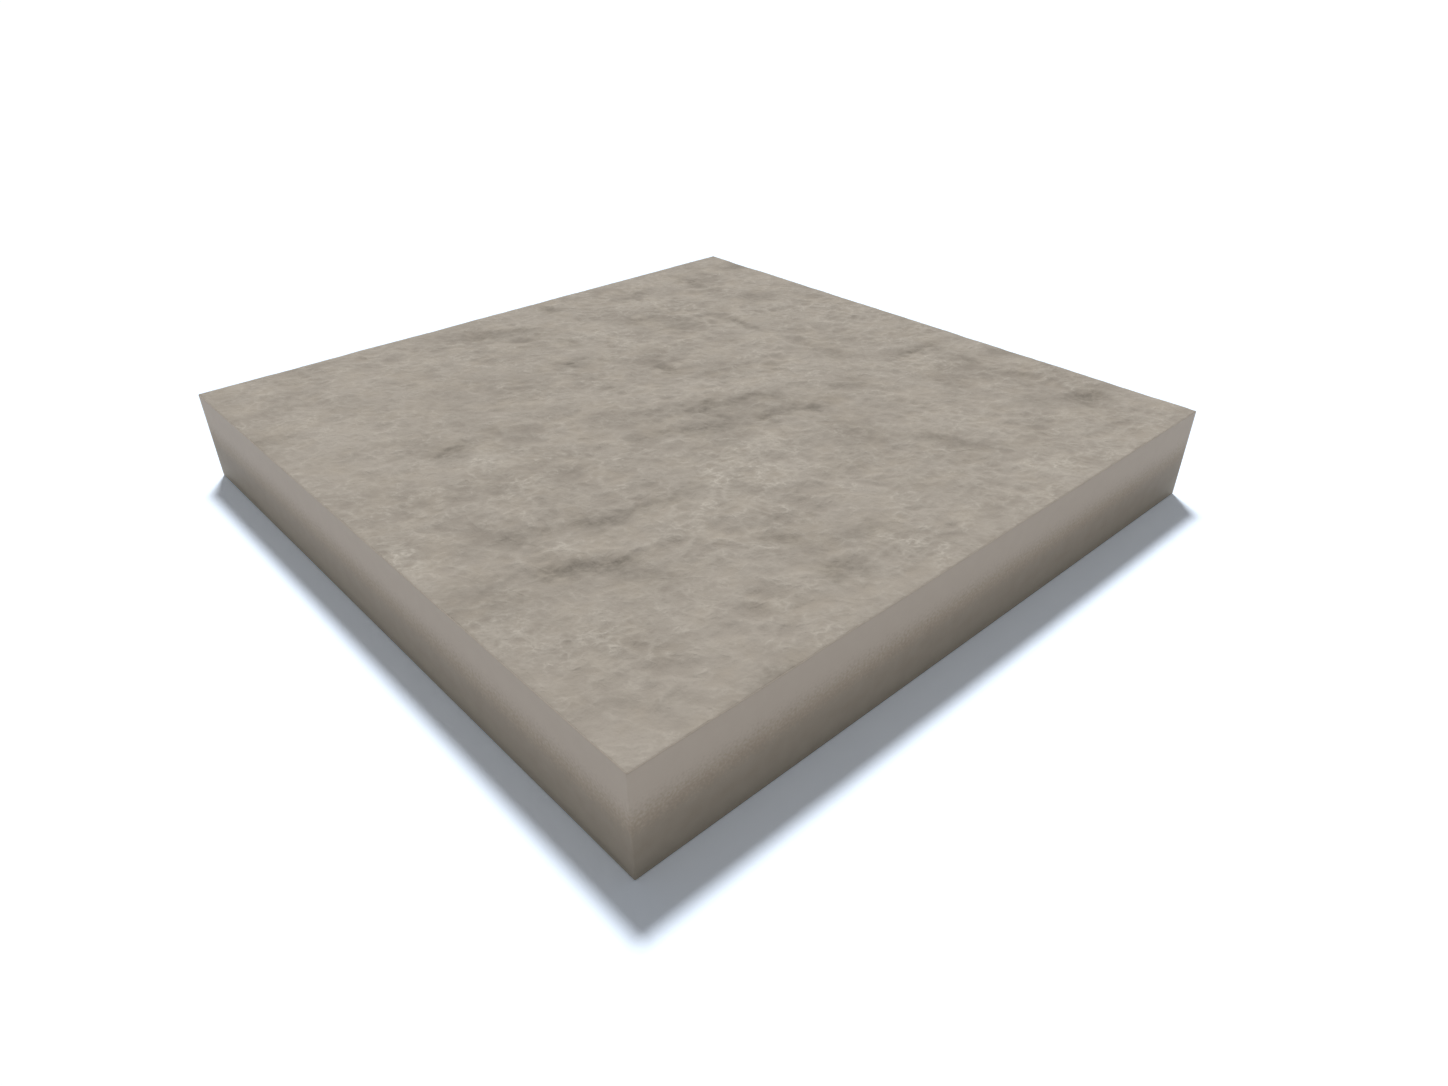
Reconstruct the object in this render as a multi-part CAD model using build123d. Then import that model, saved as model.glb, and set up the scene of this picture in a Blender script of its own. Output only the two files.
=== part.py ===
"""Concrete paving slab: one square flag, cast and pressed in a single piece.

The slab lies on its bed face, with its riven wearing face up. Its sides are upright and flat, and all its
arrises are eased by one small round.

Frame: origin at the centre of the bed face, +Z up, X and Y along the sides. Millimetres.
"""

from build123d import *
import os

# Driving dimensions
SLAB_LENGTH = 300.0  # side along X
SLAB_WIDTH = 300.0  # side along Y
SLAB_THICKNESS = 40.0  # from the bed face up to the crests of the wearing face
ARRIS_RADIUS = 0.5  # round that a straight-sided mould leaves along every edge


def paving_slab():
    """The flag as it leaves the mould: a flat block on its bed face, with every arris rounded."""
    block = Box(
        SLAB_LENGTH,
        SLAB_WIDTH,
        SLAB_THICKNESS,
        align=(Align.CENTER, Align.CENTER, Align.MIN),
    )
    return fillet(block.edges(), ARRIS_RADIUS)


os.makedirs("parts", exist_ok=True)
slab = paving_slab()
slab.label = "paving_slab"
export_step(slab, "parts/paving_slab.step")
print(f"paving_slab: {slab.volume / 1000:.1f} cm3, size {slab.bounding_box().size}")
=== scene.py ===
# %% [markdown]
# # A riven concrete paving slab
#
# A pressed flag is one block of concrete. Its sides took the smooth skin of a steel mould, and its wearing
# face took a riven pattern, so that it looks like split stone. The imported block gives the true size.
# This lesson lays a finished skin over it: a relief worked out with numpy, two concrete finishes made with
# nodes, and the lens and the light of a plain studio picture.

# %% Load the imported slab
import math

import bpy
import numpy as np
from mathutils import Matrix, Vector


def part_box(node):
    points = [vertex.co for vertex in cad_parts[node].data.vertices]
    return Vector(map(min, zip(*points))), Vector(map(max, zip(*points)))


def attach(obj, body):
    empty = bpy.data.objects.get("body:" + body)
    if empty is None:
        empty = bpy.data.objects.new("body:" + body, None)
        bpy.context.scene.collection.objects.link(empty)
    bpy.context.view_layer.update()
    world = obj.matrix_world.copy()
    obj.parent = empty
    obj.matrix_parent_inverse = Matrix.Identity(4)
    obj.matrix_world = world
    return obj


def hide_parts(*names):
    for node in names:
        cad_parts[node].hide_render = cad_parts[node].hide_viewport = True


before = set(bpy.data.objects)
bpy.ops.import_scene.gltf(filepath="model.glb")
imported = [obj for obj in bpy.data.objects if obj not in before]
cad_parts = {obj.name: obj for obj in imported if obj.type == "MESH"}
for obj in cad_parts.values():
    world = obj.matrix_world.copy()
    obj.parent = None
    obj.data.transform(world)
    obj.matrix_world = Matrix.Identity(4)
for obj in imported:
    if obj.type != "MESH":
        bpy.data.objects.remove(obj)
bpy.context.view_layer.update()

MM = 0.001  # Blender works in metres, and the sizes below are in millimetres
low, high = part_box("paving_slab")
SIDE = (high.x - low.x) / MM
THICKNESS = (high.z - low.z) / MM
print(f"packed slab: {SIDE:.1f} mm square, {THICKNESS:.1f} mm thick")

# %% [markdown]
# ## The lens
#
# The picture was taken from close by with a wide lens: the near corner looms, and the far sides run quickly
# together. The corners of a square block of known thickness fix all of it, the focal length, the place of
# the eye and the tilt. So the camera gets those values, and it isn't aimed by eye.

# %% Camera
PICTURE_WIDTH = 1448  # pixels
FOCAL_LENGTH = 965.9  # in the same pixels
SENSOR_WIDTH = 36.0
EYE = (-244.4, -286.6, 211.8)
LOOKING_DOWN = 32.86  # degrees below the horizon
HEADING = -42.73  # degrees from +Y, anticlockwise

lens = bpy.data.cameras.new("studio_lens")
lens.sensor_width = SENSOR_WIDTH
lens.lens = SENSOR_WIDTH * FOCAL_LENGTH / PICTURE_WIDTH
lens.clip_start = 0.01
camera = bpy.data.objects.new("studio_camera", lens)
camera.location = [value * MM for value in EYE]
camera.rotation_euler = (math.radians(90 - LOOKING_DOWN), 0, math.radians(HEADING))
bpy.context.scene.collection.objects.link(camera)
bpy.context.scene.camera = camera
print(f"lens {lens.lens:.2f} mm, {math.dist(EYE, (0, 0, THICKNESS)):.0f} mm from the middle of the face")

# %% [markdown]
# ## Points of the riven face
#
# Riven stone is never flat. A displacement texture could give it its relief, but then the shape would live
# in the material. Here it is a height field: a grid of points over the face, and a depth below the highest
# crest for each of them. The cells are about a millimetre wide, so the grid can hold everything that is
# coarser than a few millimetres, and the material adds what is finer.

# %% Grid over the face
ARRIS = 0.5  # round along every edge
CELLS = 270  # grid cells along a side, as many as the limit on triangles leaves room for

flat_half = SIDE / 2 - ARRIS
steps = np.linspace(-flat_half, flat_half, CELLS + 1)
SPACING = steps[1] - steps[0]
x, y = np.meshgrid(steps, steps)
print(f"face grid: {x.size} points, {SPACING:.2f} mm apart")

# %% [markdown]
# ## Waves in stone
#
# A split face swells and dips over a few centimetres and is crumpled over a few millimetres. Each of these
# is random, but has its own length. White noise holds waves of every length, so a filter that keeps one
# band of lengths gives exactly the roughness that is wanted. The split also ran in one direction, so the
# waves are longer along it.

# %% Random waves of a chosen length
SEED = 41
BAND = 0.5  # octaves on either side of the chosen length
TINY = 1e-9  # keeps the logarithm of the flat term finite

chance = np.random.default_rng(SEED)
per_mm = np.fft.fftfreq(CELLS + 1, SPACING)  # waves in a millimetre, for each Fourier term
per_mm_x, per_mm_y = np.meshgrid(per_mm, per_mm)


def waves(length, stretch=1.0, heading=0.0):
    """Random waves about `length` mm from crest to crest, `stretch` times longer along `heading`.

    White noise keeps only its Fourier terms near that length: each term is multiplied by a bell curve of
    the octaves between its length and the chosen one. Heading is in degrees from +X. The spread is 1.
    """
    turn = math.radians(heading)
    along = per_mm_x * math.cos(turn) + per_mm_y * math.sin(turn)
    across = per_mm_y * math.cos(turn) - per_mm_x * math.sin(turn)
    off = np.log2(np.hypot(along * stretch, across) * length + TINY)
    bell = np.exp(-0.5 * (off / BAND) ** 2)
    field = np.fft.ifft2(np.fft.fft2(chance.standard_normal(x.shape)) * bell).real
    return field / field.std()


print(f"shortest waves that the grid holds: {2 * SPACING:.1f} mm")

# %% [markdown]
# ## Swells, crumples and mottle
#
# Swells are the long, soft waves of the split. Crumples have sharp crests and broad valleys, as in crushed
# paper: the size of a wave, whatever its sign, has such a crest wherever the wave crosses zero. They are
# stronger in some patches than in others. Mottle is a faint unevenness between them. All of it is low,
# because people walk on this face.

# %% Swells
GRAIN = -35.0  # heading of the split, in degrees from +X
SWELLS = ((0.18, 60, 1.4), (0.15, 28, 1.3))  # height, length and stretch along the split


def rolling(kinds):
    """Random waves of several lengths on top of each other: the sum of each height times its waves."""
    return sum(height * waves(length, stretch, GRAIN) for height, length, stretch in kinds)


swells = rolling(SWELLS)
print(f"swells: {swells.min():.2f} to {swells.max():.2f} mm")

# %% Crumples and mottle
CRUMPLES = ((0.13, 20, 0.2), (0.10, 10, 0.25), (0.05, 6, 0.5))  # height, length and softness of the crest
CRUMPLE_STRETCH = 1.25
PATCH = 50.0  # size of the patches where crumples are stronger or weaker
PATCH_CONTRAST = 0.35
MOTTLE = ((0.06, 10, 1.2), (0.02, 5, 1.2))


def ridges(length, softness):
    """Sharp crests and broad valleys: minus the size of random waves, rounded off near 0, of spread 1."""
    field = -np.hypot(waves(length, CRUMPLE_STRETCH, GRAIN), softness)
    return (field - field.mean()) / field.std()


crumples = sum(height * ridges(length, softness) for height, length, softness in CRUMPLES)
crumples *= 1 + PATCH_CONTRAST * waves(PATCH)
mottle = rolling(MOTTLE)
print(f"crumples: {crumples.min():.2f} to {crumples.max():.2f} mm, mottle to {mottle.max():.2f} mm")

# %% [markdown]
# ## Where flakes came away
#
# The darkest places of the face are short, soft streaks: hollows that a flake left, steep on the side that
# faces the lamp. They are what the eye knows this slab by, so they are placed one by one, and so are the
# low lumps between them. Each is a bell curve, longer along its heading, and the strongest streaks have a
# narrow core in a broad, mild hollow. Drawn on straight axes they would look stamped, so the axes wander
# first.

# %% Wandering axes
WANDER = ((1.2, 30), (0.8, 10), (0.5, 5))  # how far the axes stray, and over what length


def stray():
    """Random shifts of several lengths, added together."""
    return sum(shift * waves(length) for shift, length in WANDER)


wander_x = x + stray()
wander_y = y + stray()
print(f"axes stray by up to {np.abs(wander_x - x).max():.1f} mm")

# %% A dimple on them
LEAN = 0.20  # how much narrower a dimple is on its steep side


def dimple(middle_x, middle_y, length, width, heading):
    """1 in the middle, and a bell curve of the distance along the heading and across it.

    It is the exponential of minus twice the squared distance, counted in half lengths and half widths.
    Left of the heading the half width is smaller by LEAN, and right of it larger, so the left is steeper.
    """
    turn = math.radians(heading)
    along = (wander_x - middle_x) * math.cos(turn) + (wander_y - middle_y) * math.sin(turn)
    across = (wander_y - middle_y) * math.cos(turn) - (wander_x - middle_x) * math.sin(turn)
    half_width = width / 2 * np.where(across > 0, 1 - LEAN, 1 + LEAN)
    return np.exp(-2 * ((2 * along / length) ** 2 + (across / half_width) ** 2))


print(f"a dimple 20 mm long fills {dimple(0, 0, 20, 10, GRAIN).sum() * SPACING**2:.0f} square mm")

# %% Hollows
# Middle x and y, length, width, heading in degrees from +X, and depth
HOLLOWS = (
    (-111, -66, 34, 18, -32, 0.55),
    (-109, -67, 30, 7, -28, 0.55),
    (-97, -77, 30, 18, -34, 0.65),
    (-96, -75, 22, 6, -30, 0.45),
    (-90, -90, 20, 10, -70, 0.30),
    (-137, -63, 40, 30, -60, 0.40),
    (-113, -41, 36, 20, -20, 0.45),
    (-88, -50, 36, 16, -28, 0.50),
    (-86, -49, 22, 5, -38, 0.45),
    (-64, -55, 46, 14, -3, 0.50),
    (-66, -54, 28, 5, 0, 0.20),
    (0, -8, 22, 9, -5, 0.75),
    (0, -8, 12, 5, -6, 0.40),
    (-10, 0, 36, 12, 0, 0.40),
    (20, -12, 40, 12, -14, 0.45),
    (32, -18, 20, 10, -50, 0.30),
    (49, -18, 16, 10, -15, 0.40),
    (-35, -13, 14, 12, -70, 0.55),
    (-26, -12, 14, 10, -30, 0.35),
    (-12, -21, 40, 13, -36, 0.65),
    (-11, -22, 26, 6, -34, 0.35),
    (2, -20, 18, 10, -75, 0.50),
    (16, -31, 26, 12, -10, 0.60),
    (16, -31, 10, 7, 0, 0.35),
    (34, -35, 26, 14, -15, 0.70),
    (37, -37, 10, 7, -40, 0.25),
    (8, -20, 110, 44, -18, 0.25),
    (-98, 30, 26, 15, -15, 0.65),
    (-97, 30, 14, 6, -12, 0.50),
    (-76, 32, 26, 10, -35, 0.30),
    (-66, 20, 22, 10, -80, 0.25),
    (18, 37, 26, 8, -84, 0.85),
    (4, 58, 26, 10, -60, 0.30),
    (28, 16, 30, 10, -65, 0.30),
    (50, -92, 32, 12, -58, 0.65),
    (57, -99, 10, 6, -40, 0.45),
    (61, -110, 20, 10, -50, 0.35),
    (130, -110, 32, 18, 0, 0.95),
    (111, -97, 32, 16, -45, 0.50),
    (-97, -147, 26, 14, 0, 0.60),
    (-126, -136, 24, 12, -40, 0.35),
    (-44, -127, 26, 16, -20, 0.90),
    (-46, -103, 24, 11, -45, 0.55),
    (-24, -115, 34, 11, -25, 0.50),
    (-24, 130, 48, 12, -24, 0.60),
    (-4, 118, 44, 22, -40, 0.45),
    (3, 92, 28, 12, -70, 0.40),
    (-36, 110, 14, 13, 0, 0.45),
    (23, 138, 26, 16, -50, 0.70),
    (68, 125, 36, 13, -3, 0.60),
    (108, 119, 36, 12, -92, 0.70),
    (147, 124, 26, 20, -35, 0.60),
    (46, 95, 24, 15, -30, 0.65),
    (61, 79, 40, 11, -50, 0.25),
    (84, 56, 44, 10, -80, 0.70),
    (62, 46, 30, 10, -35, 0.25),
    (119, 80, 32, 20, -30, 0.45),
    (140, 62, 26, 12, -70, 0.30),
    (-9, 72, 24, 14, -15, 0.80),
    (-40, 70, 24, 10, -70, 0.30),
    (-14, 36, 28, 12, -80, 0.30),
    (88, -2, 36, 12, -88, 0.60),
    (116, -26, 36, 12, -6, 0.75),
    (131, -32, 18, 12, -60, 0.45),
    (126, -54, 44, 8, -94, 0.60),
    (147, -57, 22, 12, -80, 0.70),
    (64, -33, 28, 12, -10, 0.35),
    (36, -68, 44, 22, -70, 0.35),
    (66, -62, 30, 12, -60, 0.30),
    (100, -56, 26, 12, -75, 0.30),
    (-144, 84, 26, 18, -40, 0.55),
)

hollow = sum(depth * dimple(*place) for *place, depth in HOLLOWS)
print(f"{len(HOLLOWS)} hollows, to {hollow.max():.2f} mm deep")

# %% Lumps
# Places as above, and height
LUMPS = (
    (-18, -49, 60, 20, 10, 0.50),
    (-46, -66, 54, 16, 24, 0.45),
    (-14, -68, 50, 20, -20, 0.35),
    (-14, -10, 16, 10, -40, 0.40),
    (22, -24, 16, 8, -30, 0.30),
    (-105, -56, 30, 10, -25, 0.45),
    (-145, -32, 32, 18, -75, 0.60),
    (-142, -82, 26, 16, -60, 0.45),
    (-90, 14, 26, 16, -25, 0.45),
    (-92, -14, 34, 18, 20, 0.30),
    (17, 8, 24, 14, -70, 0.40),
    (66, -134, 44, 18, -20, 0.45),
    (98, -141, 30, 12, 15, 0.35),
    (-22, -131, 34, 14, -60, 0.45),
    (-62, -120, 34, 12, -30, 0.25),
    (-120, -100, 44, 20, -25, 0.15),
    (20, 114, 34, 14, -60, 0.40),
    (18, 88, 44, 18, -70, 0.30),
    (112, 66, 26, 10, -20, 0.30),
    (112, 30, 30, 12, 60, 0.30),
    (146, -8, 24, 16, -70, 0.40),
    (104, -40, 30, 12, 20, 0.30),
    (30, 140, 20, 12, 0, 0.35),
    (80, 138, 44, 12, 10, 0.25),
)

lump = sum(height * dimple(*place) for *place, height in LUMPS)
print(f"{len(LUMPS)} lumps, to {lump.max():.2f} mm high")

# %% Calm patches
# Places as above, and how much of the crumples and the mottle is missing in the middle
CALM = ((-95, 95, 190, 130, -30, 0.50), (-118, -98, 64, 44, -30, 0.55))

fine = (crumples + mottle) * (1 - sum(share * dimple(*place) for *place, share in CALM))
print(f"fine relief: spread {fine.std():.2f} mm")

# %% [markdown]
# ## One depth from all of them
#
# The mould is straight along the edges of the slab, so the relief calms down there, though it doesn't stop.
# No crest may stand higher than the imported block. A soft floor under the depth rounds the crests off just
# below that height, as wear would.

# %% Depth below the highest crest
LEVEL = 0.60  # depth of the face's middle plane
RIM = 14.0  # width of the band along the edges where the relief calms down
RIM_SHARE = 0.25  # what is left of the relief at the very edge
RIM_LEVEL = 0.30  # depth of the middle plane there
CREST_SHARPNESS = 6.0

to_edge = flat_half - np.maximum(np.abs(x), np.abs(y))
inward = np.clip(to_edge / RIM, 0, 1)
inward = inward**2 * (3 - 2 * inward)  # from 0 at the edge to 1 at the end of the band, with no kink
relief = (RIM_SHARE + (1 - RIM_SHARE) * inward) * (swells + fine + lump - hollow)
plane = RIM_LEVEL + (LEVEL - RIM_LEVEL) * inward
depth = np.logaddexp(0, CREST_SHARPNESS * (plane - relief)) / CREST_SHARPNESS
depth = depth - depth.min()
print(f"relief: mean {depth.mean():.2f} mm, deepest {depth.max():.2f} mm")

# %% [markdown]
# ## The block under it
#
# The face is a grid, and the rest of the block is a profile carried round it: over the arris, down the
# moulded side, round the lower arris and in under the bed. At each corner the outline turns through a
# quarter circle, so that the upright arrises are as round as the others.

# %% Outline of the face
CORNER_STEPS = 4


def outline():
    """The edge of the face, anticlockwise: places, outward directions and numbers of its grid points.

    Along a side the direction is the side's own. At a corner the same point comes several times, while the
    direction turns by 90 degrees.
    """
    run = np.arange(CELLS + 1)
    last = CELLS * (CELLS + 1)
    edges = (run, run * (CELLS + 1) + CELLS, last + run[::-1], run[::-1] * (CELLS + 1))
    corner = np.arange(1, CORNER_STEPS)
    numbers, bearings = [], []
    for side, edge in enumerate(edges):
        bearing = 90.0 * side - 90.0
        numbers += [edge, np.full(corner.size, edge[-1])]
        bearings += [np.full(edge.size, bearing), bearing + 90.0 * corner / CORNER_STEPS]
    numbers = np.concatenate(numbers)
    bearings = np.radians(np.concatenate(bearings))
    places = np.stack([x.ravel()[numbers], y.ravel()[numbers]], 1)
    return places, np.stack([np.cos(bearings), np.sin(bearings)], 1), numbers


edge_places, edge_outward, edge_numbers = outline()
edge_depth = depth.ravel()[edge_numbers]
print(f"outline: {len(edge_numbers)} points, {edge_depth.min():.2f} to {edge_depth.max():.2f} mm deep")

# %% Profile from the face to the bed
ARRIS_STEPS = 5
SIDE_ROWS = 5
SUPPORT = 0.3  # a row this close to an arris keeps the flat side's shading flat
BED_RINGS = (1.0, 0.97, 0.75, 0.4)  # shares of the face's half width

quarter = np.radians(np.linspace(0, 90, ARRIS_STEPS + 1)[1:])
upper_arris = np.stack([ARRIS * np.sin(quarter), THICKNESS - ARRIS + ARRIS * np.cos(quarter)], 1)
side_heights = np.linspace(THICKNESS - ARRIS - SUPPORT, ARRIS + SUPPORT, SIDE_ROWS)
side_rows = np.stack([np.full(SIDE_ROWS, ARRIS), side_heights], 1)
lower_start = np.array([[ARRIS, ARRIS]])
lower_arris = np.stack([ARRIS * np.cos(quarter), ARRIS - ARRIS * np.sin(quarter)], 1)[:-1]
profile = np.concatenate([upper_arris, side_rows, lower_start, lower_arris])
follows_face = np.arange(len(profile)) <= ARRIS_STEPS  # rings that go up and down with the edge
print(f"profile: {len(profile)} rings down the side, {len(BED_RINGS)} on the bed")

# %% Points of the skin
ring_places = edge_places + profile[:, :1, None] * edge_outward
ring_heights = profile[:, 1:] - np.outer(follows_face, edge_depth)
rings = np.concatenate([ring_places, ring_heights[:, :, None]], 2)
turning = edge_numbers == np.roll(edge_numbers, 1)  # points that repeat the last one at a corner
bed_places = np.array(BED_RINGS)[:, None, None] * edge_places[~turning]
bed = np.concatenate([bed_places, np.zeros(bed_places.shape[:2] + (1,))], 2)
face_points = np.stack([x, y, THICKNESS - depth], -1).reshape(-1, 3)
points = np.concatenate([face_points, rings.reshape(-1, 3), bed.reshape(-1, 3), np.zeros((1, 3))])
print(f"skin: {len(points)} points")

# %% Faces of the skin


def ring_faces(rows):
    """Faces between each ring of points and the next, outwards when the rings run anticlockwise."""
    ahead = np.roll(rows, -1, 1)
    return np.stack([rows[:-1], rows[1:], ahead[1:], ahead[:-1]], -1).reshape(-1, 4)


grid = np.arange(x.size).reshape(x.shape)
face_quads = np.stack([grid[:-1, :-1], grid[:-1, 1:], grid[1:, 1:], grid[1:, :-1]], -1).reshape(-1, 4)
ring_numbers = x.size + np.arange(rings[..., 0].size).reshape(rings.shape[:2])
bed_numbers = ring_numbers.max() + 1 + np.arange(bed[..., 0].size).reshape(bed.shape[:2])
bed_edge = bed_numbers[0][np.cumsum(~turning) - 1]
side_quads = ring_faces(np.concatenate([edge_numbers[None], ring_numbers, bed_edge[None]]))
quads = np.concatenate([face_quads, side_quads, ring_faces(bed_numbers)])
middle = np.full(bed.shape[1], len(points) - 1)
bed_fan = np.stack([bed_numbers[-1], middle, np.roll(bed_numbers[-1], -1)], -1)
print(f"{len(face_quads)} faces on the riven face, {len(side_quads)} round the sides")

# %% [markdown]
# At a corner of the face, and under it on the bed, the quarter circle starts from a single point. The faces
# there have two corners in one place, so they become triangles.

# %% Mesh of the skin
RIVEN, MOULDED = 0, 1  # places in the mesh's list of materials
RIVEN_STEPS = 2  # steps over the arris that have the face's finish

pinched_above = quads[:, 0] == quads[:, 3]
pinched_below = quads[:, 1] == quads[:, 2]
whole = ~pinched_above & ~pinched_below
faces = quads[whole].tolist() + quads[pinched_above][:, :3].tolist()
faces += quads[pinched_below][:, [0, 1, 3]].tolist() + bed_fan.tolist()
riven_quads = len(face_quads) + RIVEN_STEPS * len(edge_numbers)
finish = np.where(np.arange(len(quads)) < riven_quads, RIVEN, MOULDED)
finishes = np.concatenate([finish[whole], finish[pinched_above], finish[pinched_below]])
finishes = np.concatenate([finishes, np.full(len(bed_fan), MOULDED)]).astype(np.int32)

mesh = bpy.data.meshes.new("paving_slab_skin")
mesh.from_pydata(points * MM, [], faces)
mesh.polygons.foreach_set("use_smooth", np.ones(len(faces), bool))
mesh.polygons.foreach_set("material_index", finishes)
slab = bpy.data.objects.new("paving_slab_skin", mesh)
bpy.context.scene.collection.objects.link(slab)
triangles = sum(len(corners) - 2 for corners in faces)
print(f"mesh: {triangles} triangles, sound: {not mesh.validate()}")

# %% [markdown]
# ## Marks for the material
#
# The crests get a painted highlight, paler where the relief stands high, and the hollows are darker by
# their depth. The relief knows where both are, so it writes them to the mesh as one number for each point,
# and the material reads them by name.

# %% Crests and hollows written to the mesh


def mark(name, values):
    """Writes one number per point of the face, and carries the edge's numbers down the rings below it."""
    beyond = np.zeros(len(bed.reshape(-1, 3)) + 1)
    round_sides = np.tile(values.ravel()[edge_numbers], len(profile))
    held = np.concatenate([values.ravel(), round_sides, beyond]).astype(np.float32)
    mesh.attributes.new(name, "FLOAT", "POINT").data.foreach_set("value", held)


HOLLOW_DARK_SHARE = 0.55  # how much of the darker colour a hollow one millimetre deep shows
MOST_HOLLOW_DARK = 0.5  # share in the deepest hollows
HIGHLIGHT_SHARE = 0.45  # how much of the painted highlight's colour the full amount shows
LEVEL_HIGHLIGHT = 0.5  # painted highlight on level ground; the next four change it for each millimetre of relief
FINE_HIGHLIGHT = 1.2
SWELL_HIGHLIGHT = 0.3
LUMP_HIGHLIGHT = 1.5
HOLLOW_HIGHLIGHT = -0.8
MOST_HIGHLIGHT = 1.2  # most painted highlight

# darker in the hollows, by their depth
hollow_dark = np.clip(HOLLOW_DARK_SHARE * hollow, 0, MOST_HOLLOW_DARK)
# painted highlight: paler where the relief stands high, most on lumps, least in hollows
coat = LEVEL_HIGHLIGHT + FINE_HIGHLIGHT * fine + SWELL_HIGHLIGHT * swells + LUMP_HIGHLIGHT * lump + HOLLOW_HIGHLIGHT * hollow
painted_highlight = HIGHLIGHT_SHARE * np.clip(coat, 0, MOST_HIGHLIGHT)
mark("hollow_dark", hollow_dark)
mark("painted_highlight", painted_highlight)
mesh.update()
print(f"fines to {hollow_dark.max():.2f}, paste {painted_highlight.mean():.2f} on average")

# %% [markdown]
# ## Colours and nodes
#
# Every colour is an sRGB hex value, as a colour picker gives it, and one function turns it into the linear
# light that the renderer works with. A second one adds a node, its settings and its links in one call. A
# third turns the size of a pattern on the real slab into the scale of a noise.

# %% Helpers for materials
NOISE_LOW, NOISE_HIGH = 0.35, 0.65  # most values of a soft noise lie between these


def linear(colour):
    """Linear light from an sRGB hex value, by the two parts of the sRGB curve, with alpha 1."""
    srgb = np.array([int(colour[place : place + 2], 16) for place in (1, 3, 5)]) / 255
    light = np.where(srgb <= 0.04045, srgb / 12.92, ((srgb + 0.055) / 1.055) ** 2.4)
    return (*light.tolist(), 1.0)


def node(tree, kind, inputs=None, **settings):
    """Adds a shader node, gives it settings, and sets or links each of its inputs.

    An input goes by its name, or by its number where a node has several of one name: the factor and the two
    colours of a Mix are 0, 6 and 7, and the values of a Math node are 0, 1 and 2.
    """
    made = tree.nodes.new("ShaderNode" + kind)
    for name, value in settings.items():
        setattr(made, name, value)
    for name, value in (inputs or {}).items():
        if isinstance(value, bpy.types.NodeSocket):
            tree.links.new(value, made.inputs[name])
        else:
            made.inputs[name].default_value = value
    return made


def per_metre(size):
    """Noise scale that gives patches of about this size in mm."""
    return 1 / (size * MM)


print("middle grey as light:", [round(value, 3) for value in linear("#808080")[:3]])

# %% [markdown]
# ## Riven face
#
# Wet-pressed concrete, cast against a riven mould and never sealed, so it is matt and warm grey. One even
# grey would look like plastic. The real skin is clouded over a few centimetres, where the mix was wetter,
# and has a trace of rust in smaller patches, from iron in the sand. Both are soft noise that mixes colours
# which are close to each other.

# %% Grey of the cement skin
CEMENT = "#9E968C"
CEMENT_SHADE = "#90887E"
RUSTY = "#A0978B"
CLOUD = 30.0  # mm across, and so are the sizes below
RUST_PATCH = 14.0


def cement_grey(tree, place, along_grain):
    """Two greys mixed by clouds, and a trace of rust mixed into them by smaller patches."""
    clouds = node(tree, "TexNoise", {"Vector": along_grain, "Scale": per_metre(CLOUD), "Detail": 6.0,
                                     "Roughness": 0.65})
    shade = node(tree, "MapRange", {"Value": clouds.outputs["Fac"], "From Min": 0.38, "From Max": 0.62})
    grey = node(tree, "Mix", {0: shade.outputs[0], 6: linear(CEMENT), 7: linear(CEMENT_SHADE)},
                data_type="RGBA")
    rust = node(tree, "TexNoise", {"Vector": place, "Scale": per_metre(RUST_PATCH), "Detail": 3.0})
    share = node(tree, "MapRange", {"Value": rust.outputs["Fac"], "From Min": 0.45, "From Max": 0.75})
    return node(tree, "Mix", {0: share.outputs[0], 6: grey.outputs[2], 7: linear(RUSTY)},
                data_type="RGBA").outputs[2]


print("cement greys:", CEMENT, CEMENT_SHADE, RUSTY)

# %% [markdown]
# Below the grid's millimetre, the skin is folded like thin paper. Ridged noise has the thin crests of such
# folds. A fine one gives the folds themselves and thin veins along their tops, which get a painted
# highlight, and a coarse one gives longer creases. Both run along the split, as the relief in the mesh
# does. The veins show in patches only.

# %% Folds and creases
FOLD = 4.0  # mm from one to the next
CREASE = 14.0
VEIN_PATCH = 7.0  # size of the patches where the painted highlight of the veins shows or not


def folded_skin(tree, along_grain):
    """Three numbers from 0 to 1: how near a fold's top it is, how near a vein, and how near a crease.

    Each is a share of the way between a low and a high value of ridged noise. The veins are the highest
    part of the folds, multiplied by patches of another noise.
    """
    folds = node(tree, "TexNoise", {"Vector": along_grain, "Scale": per_metre(FOLD), "Detail": 4.0,
                                    "Roughness": 0.6, "Distortion": 0.2, "Offset": 1.0, "Gain": 2.0},
                 noise_type="RIDGED_MULTIFRACTAL")
    creases = node(tree, "TexNoise", {"Vector": along_grain, "Scale": per_metre(CREASE), "Detail": 1.0,
                                      "Roughness": 0.4, "Distortion": 0.4, "Offset": 1.0, "Gain": 1.0},
                   noise_type="RIDGED_MULTIFRACTAL")
    tops = node(tree, "MapRange", {"Value": folds.outputs["Fac"], "From Min": 0.4, "From Max": 2.0})
    veins = node(tree, "MapRange", {"Value": folds.outputs["Fac"], "From Min": 1.5, "From Max": 1.85})
    vein_patches = node(tree, "TexNoise", {"Vector": along_grain, "Scale": per_metre(VEIN_PATCH), "Detail": 2.0})
    kept = node(tree, "MapRange", {"Value": vein_patches.outputs["Fac"], "From Min": 0.46, "From Max": 0.62})
    patchy = node(tree, "Math", {0: veins.outputs[0], 1: kept.outputs[0]}, operation="MULTIPLY")
    lines = node(tree, "MapRange", {"Value": creases.outputs["Fac"], "From Min": 1.1, "From Max": 1.35})
    return tops.outputs[0], patchy.outputs[0], lines.outputs[0]


print(f"folds {FOLD:.0f} mm apart, creases {CREASE:.0f} mm apart")

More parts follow.
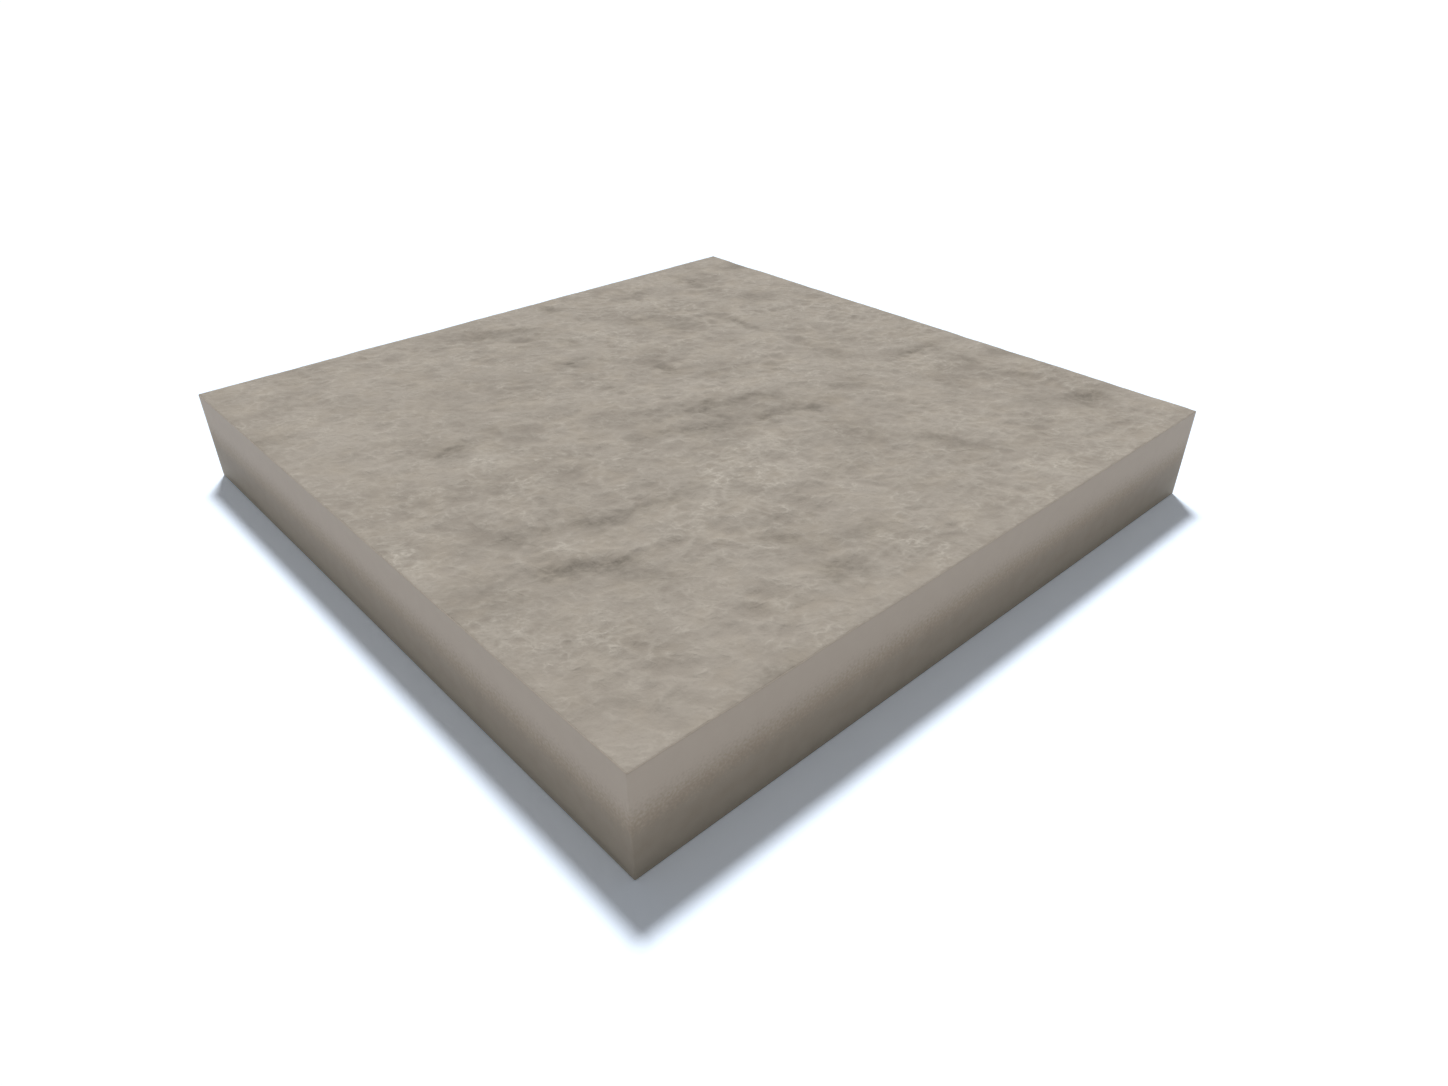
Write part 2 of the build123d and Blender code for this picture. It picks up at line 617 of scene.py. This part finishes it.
# %% Painted highlight and darker hollows over the grey
# colour of the painted highlight on crests and vein lines
CREST_HIGHLIGHT = "#B9B2A7"
# darker colour of the hollows
HOLLOW_DARK = "#6F695F"
VEIN_SHARE = 0.7  # how much more painted highlight a vein gets than the rest of a fold
CREASE_SHARE = 0.2  # and how much more a crease gets
SPECK = 2.0
SPECK_CONTRAST = 0.4  # how far specks raise and lower the share of the darker colour


def highlight_and_hollow_dark(tree, along_grain, grey, folded):
    """Painted highlight by the mesh's mark times the folds, then the hollows' darker colour by the mesh's
    mark times specks.
    """
    tops, veins, creases = folded
    hollow_dark_here = node(tree, "Attribute", attribute_name="hollow_dark").outputs["Fac"]
    highlight_here = node(tree, "Attribute", attribute_name="painted_highlight").outputs["Fac"]
    # painted highlight, raised on veins and creases, times the mesh's mark
    veined = node(tree, "Math", {0: veins, 1: VEIN_SHARE, 2: tops}, operation="MULTIPLY_ADD")
    creased = node(tree, "Math", {0: creases, 1: CREASE_SHARE, 2: veined.outputs[0]},
                   operation="MULTIPLY_ADD")
    highlight_share = node(tree, "Math", {0: creased.outputs[0], 1: highlight_here}, operation="MULTIPLY")
    pale = node(tree, "Mix", {0: highlight_share.outputs[0], 6: grey, 7: linear(CREST_HIGHLIGHT)}, data_type="RGBA")
    specks = node(tree, "TexNoise", {"Vector": along_grain, "Scale": per_metre(SPECK), "Detail": 4.0})
    speckled = node(tree, "MapRange", {"Value": specks.outputs["Fac"], "From Min": NOISE_LOW,
                                       "From Max": NOISE_HIGH, "To Min": 1 - SPECK_CONTRAST,
                                       "To Max": 1 + SPECK_CONTRAST})
    # darker in the hollows, by the mesh's mark times specks
    hollow_dark_share = node(tree, "Math", {0: speckled.outputs[0], 1: hollow_dark_here}, operation="MULTIPLY")
    return node(tree, "Mix", {0: hollow_dark_share.outputs[0], 6: pale.outputs[2], 7: linear(HOLLOW_DARK)},
                data_type="RGBA").outputs[2]


print("painted_highlight", CREST_HIGHLIGHT, "and fines", HOLLOW_DARK)

# %% [markdown]
# The same folds and creases stand up a little, and between them the skin is uneven and gritty with sand.
# That is too fine for the mesh, so it is a bump. Its distance is a millimetre, so every height below is in
# real millimetres.

# %% Fine relief
UNEVEN = 4.0  # size of the uneven places
UNEVEN_HEIGHT = 0.32
FOLD_HEIGHT = 0.13
CREASE_HEIGHT = 0.10
GRIT = 1.6  # real sand is finer, and this is as fine as the picture shows
GRIT_HEIGHT = 0.20


def fine_relief(tree, place, along_grain, folded):
    """A bump of the sum of all heights: uneven skin, folds, creases and grit."""
    tops, _, creases = folded
    uneven = node(tree, "TexNoise", {"Vector": along_grain, "Scale": per_metre(UNEVEN), "Detail": 4.0,
                                     "Roughness": 0.6})
    skin = node(tree, "Math", {0: uneven.outputs["Fac"], 1: UNEVEN_HEIGHT}, operation="MULTIPLY")
    folds = node(tree, "Math", {0: tops, 1: FOLD_HEIGHT, 2: skin.outputs[0]}, operation="MULTIPLY_ADD")
    lines = node(tree, "Math", {0: creases, 1: CREASE_HEIGHT, 2: folds.outputs[0]},
                 operation="MULTIPLY_ADD")
    grit = node(tree, "TexNoise", {"Vector": place, "Scale": per_metre(GRIT), "Detail": 3.0})
    height = node(tree, "Math", {0: grit.outputs["Fac"], 1: GRIT_HEIGHT, 2: lines.outputs[0]},
                  operation="MULTIPLY_ADD")
    return node(tree, "Bump", {"Height": height.outputs[0], "Strength": 1.0, "Distance": MM}).outputs[0]


print(f"grit of {GRIT} mm, up to {GRIT_HEIGHT} mm high")

# %% Material of the riven face
STRETCH = 1.2  # patterns are this much longer along the split
FACE_ROUGHNESS = 0.85  # bare concrete is nearly without gloss
FACE_SPECULAR = 0.25


def riven_concrete_face():
    """Matt cement skin: cloudy grey, painted highlight on crests, darker hollows, fine folds."""
    material = bpy.data.materials.new("riven_concrete_face")
    material.use_nodes = True
    tree = material.node_tree
    tree.nodes.clear()
    place = node(tree, "TexCoord").outputs["Object"]
    along_grain = node(tree, "Mapping", {"Vector": place, "Rotation": (0, 0, math.radians(GRAIN)),
                                         "Scale": (STRETCH, 1, 1)}, vector_type="TEXTURE").outputs[0]
    folded = folded_skin(tree, along_grain)
    grey = cement_grey(tree, place, along_grain)
    colour = highlight_and_hollow_dark(tree, along_grain, grey, folded)
    normal = fine_relief(tree, place, along_grain, folded)
    shader = node(tree, "BsdfPrincipled", {"Base Color": colour, "Normal": normal,
                                           "Roughness": FACE_ROUGHNESS,
                                           "Specular IOR Level": FACE_SPECULAR})
    node(tree, "OutputMaterial", {"Surface": shader.outputs[0]})
    return material


mesh.materials.append(riven_concrete_face())
print("finish of the wearing face:", mesh.materials[RIVEN].name)

# %% [markdown]
# ## Moulded sides
#
# The same concrete, cast against a smooth steel mould. The skin there is dense, closed and a little pinker,
# with only a slight sheen. It is painted in two tones by height, as painted reflection: the upper half is
# paler, as where a glossier side mirrors the white floor, and the lower half is painted shade, as where it
# mirrors the shadow beside the slab. A soft, browner fringe marks the edge between them. The foot is
# painted a little paler, painted light against the shade where the side meets the floor, and faint clouds
# of lime bloom lie over all of it. The edge is a ramp of the height from the painted shade to the upper
# tone, made ragged by noise of sand's size. The fringe is strongest where the ramp is a third of the way
# up: there the upper tone's share times the square of the painted shade's share is largest.

# %% Material of the sides
# upper tone of the side, paler in part as painted reflection of the white floor
MOULD_UPPER = "#BCAFA1"
# painted shade of the lower half, where a glossier side would mirror the shadow on the floor
MOULD_PAINTED_SHADE = "#9A8F81"
# painted light for the foot, against the shade where the side meets the floor
MOULD_PAINTED_FOOT_LIGHT = "#ABA294"
# browner fringe along the edge of the painted shade
MOULD_FRINGE = "#AA8A65"
LIME_BLOOM = "#D9CFC0"
SHADE_EDGE = 22.5  # height above the bed
SHADE_BLUR = 7.5  # how far the ramp reaches above and below that
FOOT = 10.0  # height of the band that is painted paler, painted light against the shade at the foot
SAND = 1.0  # size of the sand grains
SAND_HEIGHT = 0.1
RAGGED = 15.0  # how far apart the lowest and the highest noise of sand move the edge
BLOOM = 6.0  # size of the clouds of lime
MOST_BLOOM = 0.06  # share of lime in the thickest cloud
SIDE_ROUGHNESS = 0.6  # concrete from a steel mould has a slight sheen
SIDE_SPECULAR = 0.15


def moulded_concrete_sides():
    """Dense cement skin from a steel mould: even, with a slight sheen, and painted in two tones by height.

    The colour is mixed by height from the painted light of the foot to the painted shade to the upper tone,
    then with a browner fringe by the upper share times the painted shade's share squared, and then with
    lime by soft noise.
    """
    material = bpy.data.materials.new("moulded_concrete_sides")
    material.use_nodes = True
    tree = material.node_tree
    tree.nodes.clear()
    place = node(tree, "TexCoord").outputs["Object"]
    height = node(tree, "SeparateXYZ", {0: place}).outputs["Z"]
    sand = node(tree, "TexNoise", {"Vector": place, "Scale": per_metre(SAND), "Detail": 2.0}).outputs["Fac"]
    moved = node(tree, "Math", {0: sand, 1: RAGGED * MM, 2: height}, operation="MULTIPLY_ADD")
    edge = SHADE_EDGE + RAGGED / 2
    # ramp from the painted shade below to the upper tone above, a painted reflection of the shadow's edge
    # on the floor
    upper_share = node(tree, "MapRange", {"Value": moved.outputs[0], "From Min": (edge - SHADE_BLUR) * MM,
                                  "From Max": (edge + SHADE_BLUR) * MM}, interpolation_type="SMOOTHSTEP")
    # painted light at the foot, strongest at the bed
    foot = node(tree, "MapRange", {"Value": height, "From Min": FOOT * MM, "From Max": 0.0})
    painted_lower = node(tree, "Mix", {0: foot.outputs[0], 6: linear(MOULD_PAINTED_SHADE), 7: linear(MOULD_PAINTED_FOOT_LIGHT)},
                data_type="RGBA")
    tone = node(tree, "Mix", {0: upper_share.outputs[0], 6: painted_lower.outputs[2], 7: linear(MOULD_UPPER)},
                data_type="RGBA")
    # the fringe is strongest a third of the way up that ramp
    shade_share = node(tree, "Math", {0: 1.0, 1: upper_share.outputs[0]}, operation="SUBTRACT")
    halfway = node(tree, "Math", {0: upper_share.outputs[0], 1: shade_share.outputs[0]}, operation="MULTIPLY")
    fringe = node(tree, "Math", {0: halfway.outputs[0], 1: shade_share.outputs[0]}, operation="MULTIPLY")
    fringed = node(tree, "Mix", {0: fringe.outputs[0], 6: tone.outputs[2], 7: linear(MOULD_FRINGE)},
                 data_type="RGBA")
    clouds = node(tree, "TexNoise", {"Vector": place, "Scale": per_metre(BLOOM), "Detail": 4.0})
    thickness = node(tree, "MapRange", {"Value": clouds.outputs["Fac"], "From Min": NOISE_LOW,
                                        "From Max": NOISE_HIGH, "To Max": MOST_BLOOM})
    bloomed = node(tree, "Mix", {0: thickness.outputs[0], 6: fringed.outputs[2], 7: linear(LIME_BLOOM)},
                   data_type="RGBA")
    bump = node(tree, "Bump", {"Height": sand, "Strength": 0.3, "Distance": SAND_HEIGHT * MM})
    shader = node(tree, "BsdfPrincipled", {"Base Color": bloomed.outputs[2], "Normal": bump.outputs[0],
                                           "Roughness": SIDE_ROUGHNESS,
                                           "Specular IOR Level": SIDE_SPECULAR})
    node(tree, "OutputMaterial", {"Surface": shader.outputs[0]})
    return material


mesh.materials.append(moulded_concrete_sides())
print("finish of the sides:", mesh.materials[MOULDED].name)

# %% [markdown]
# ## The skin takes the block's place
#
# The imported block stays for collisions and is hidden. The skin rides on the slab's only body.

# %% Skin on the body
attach(slab, "root")
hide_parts("paving_slab")

# %% [markdown]
# ## Floor
#
# The floor is white paint with a trace of blue. It throws much of the lamp's light up at the sides, which
# the lamp itself doesn't reach. Rays from the camera and from shiny surfaces see it with a thin bluish coat
# and a slight lift. So it is a clean white without more light on the slab, and the shadow stays, with the
# blue of the coat along its soft edge.

# %% White floor
FLOOR_SIZE = 12.0  # metres
PAINT = "#F4F9FF"
NO_COAT = "#000000"
SEEN_COAT = "#2C587C"  # what the floor gives back besides, where it is seen
SEEN_LIFT = 0.059  # light added to the floor where it is seen


def bright_rays(tree):
    """1 for rays from the camera, from gloss or through glass, and 0 for rays of plain light."""
    path = node(tree, "LightPath").outputs
    gloss = node(tree, "Math", {0: path["Is Camera Ray"], 1: path["Is Glossy Ray"]}, operation="MAXIMUM")
    return node(tree, "Math", {0: gloss.outputs[0], 1: path["Is Transmission Ray"]},
                operation="MAXIMUM").outputs[0]


def white_paint():
    """Matte white paint, with a bluish coat and a faint lift added for rays that show it."""
    material = bpy.data.materials.new("white_floor_paint")
    material.use_nodes = True
    tree = material.node_tree
    tree.nodes.clear()
    seen = bright_rays(tree)
    matte = node(tree, "BsdfDiffuse", {"Color": linear(PAINT)})
    tint = node(tree, "Mix", {0: seen, 6: linear(NO_COAT), 7: linear(SEEN_COAT)}, data_type="RGBA")
    coat = node(tree, "BsdfDiffuse", {"Color": tint.outputs[2]})
    strength = node(tree, "Math", {0: seen, 1: SEEN_LIFT}, operation="MULTIPLY")
    glow = node(tree, "Emission", {"Strength": strength.outputs[0]})
    painted = node(tree, "AddShader", {0: matte.outputs[0], 1: coat.outputs[0]})
    lifted = node(tree, "AddShader", {0: painted.outputs[0], 1: glow.outputs[0]})
    node(tree, "OutputMaterial", {"Surface": lifted.outputs[0]})
    return material


half = FLOOR_SIZE / 2
floor_mesh = bpy.data.meshes.new("floor")
floor_corners = [(-half, -half, 0), (half, -half, 0), (half, half, 0), (-half, half, 0)]
floor_mesh.from_pydata(floor_corners, [], [(0, 1, 2, 3)])
floor_mesh.materials.append(white_paint())
floor = bpy.data.objects.new("floor", floor_mesh)
bpy.context.scene.collection.objects.link(floor)
print(f"floor: {FLOOR_SIZE:.0f} m square")

# %% [markdown]
# ## Lamp and sky
#
# One large lamp stands high behind the slab, so that a narrow, soft shadow falls forward on two sides. The
# rest of the light is an even sky. Both are neutral, and together they give a level surface about the light
# at which a colour renders as it is written.

# %% Lamp behind the slab
SHADOW_REACH = (-0.278, -0.40)  # how far a shadow falls along X and Y for each unit of height
LAMP_LEVEL = 0.82  # light that the lamp alone gives a white level surface
LAMP_WIDTH = 9.0  # degrees, seen from the slab

lamp = bpy.data.lights.new("soft_lamp", "SUN")
lamp.angle = math.radians(LAMP_WIDTH)
fall = np.array([*SHADOW_REACH, -1.0])
lamp.energy = LAMP_LEVEL * math.pi * np.linalg.norm(fall)
lamp_object = bpy.data.objects.new("soft_lamp", lamp)
tilt = math.atan(math.hypot(*SHADOW_REACH))
lamp_object.rotation_euler = (tilt, 0, math.atan2(-SHADOW_REACH[0], SHADOW_REACH[1]))
bpy.context.scene.collection.objects.link(lamp_object)
print(f"lamp: {90 - math.degrees(tilt):.0f} degrees high")

# %% Even sky
SKY = "#FFFFFF"
SKY_LEVEL = 0.22  # light that the sky alone gives a white level surface
BACKDROP = "#FFFFFF"  # what is seen beyond the floor

world = bpy.data.worlds.new("studio")
world.use_nodes = True
bpy.context.scene.world = world
sky_tree = world.node_tree
sky_tree.nodes.clear()
fill = node(sky_tree, "Background", {"Color": linear(SKY), "Strength": SKY_LEVEL})
backdrop = node(sky_tree, "Background", {"Color": linear(BACKDROP), "Strength": 1.0})
seen = node(sky_tree, "MixShader", {0: bright_rays(sky_tree), 1: fill.outputs[0], 2: backdrop.outputs[0]})
node(sky_tree, "OutputWorld", {"Surface": seen.outputs[0]})
bpy.context.scene.view_settings.view_transform = "Standard"
print("sky level", SKY_LEVEL)
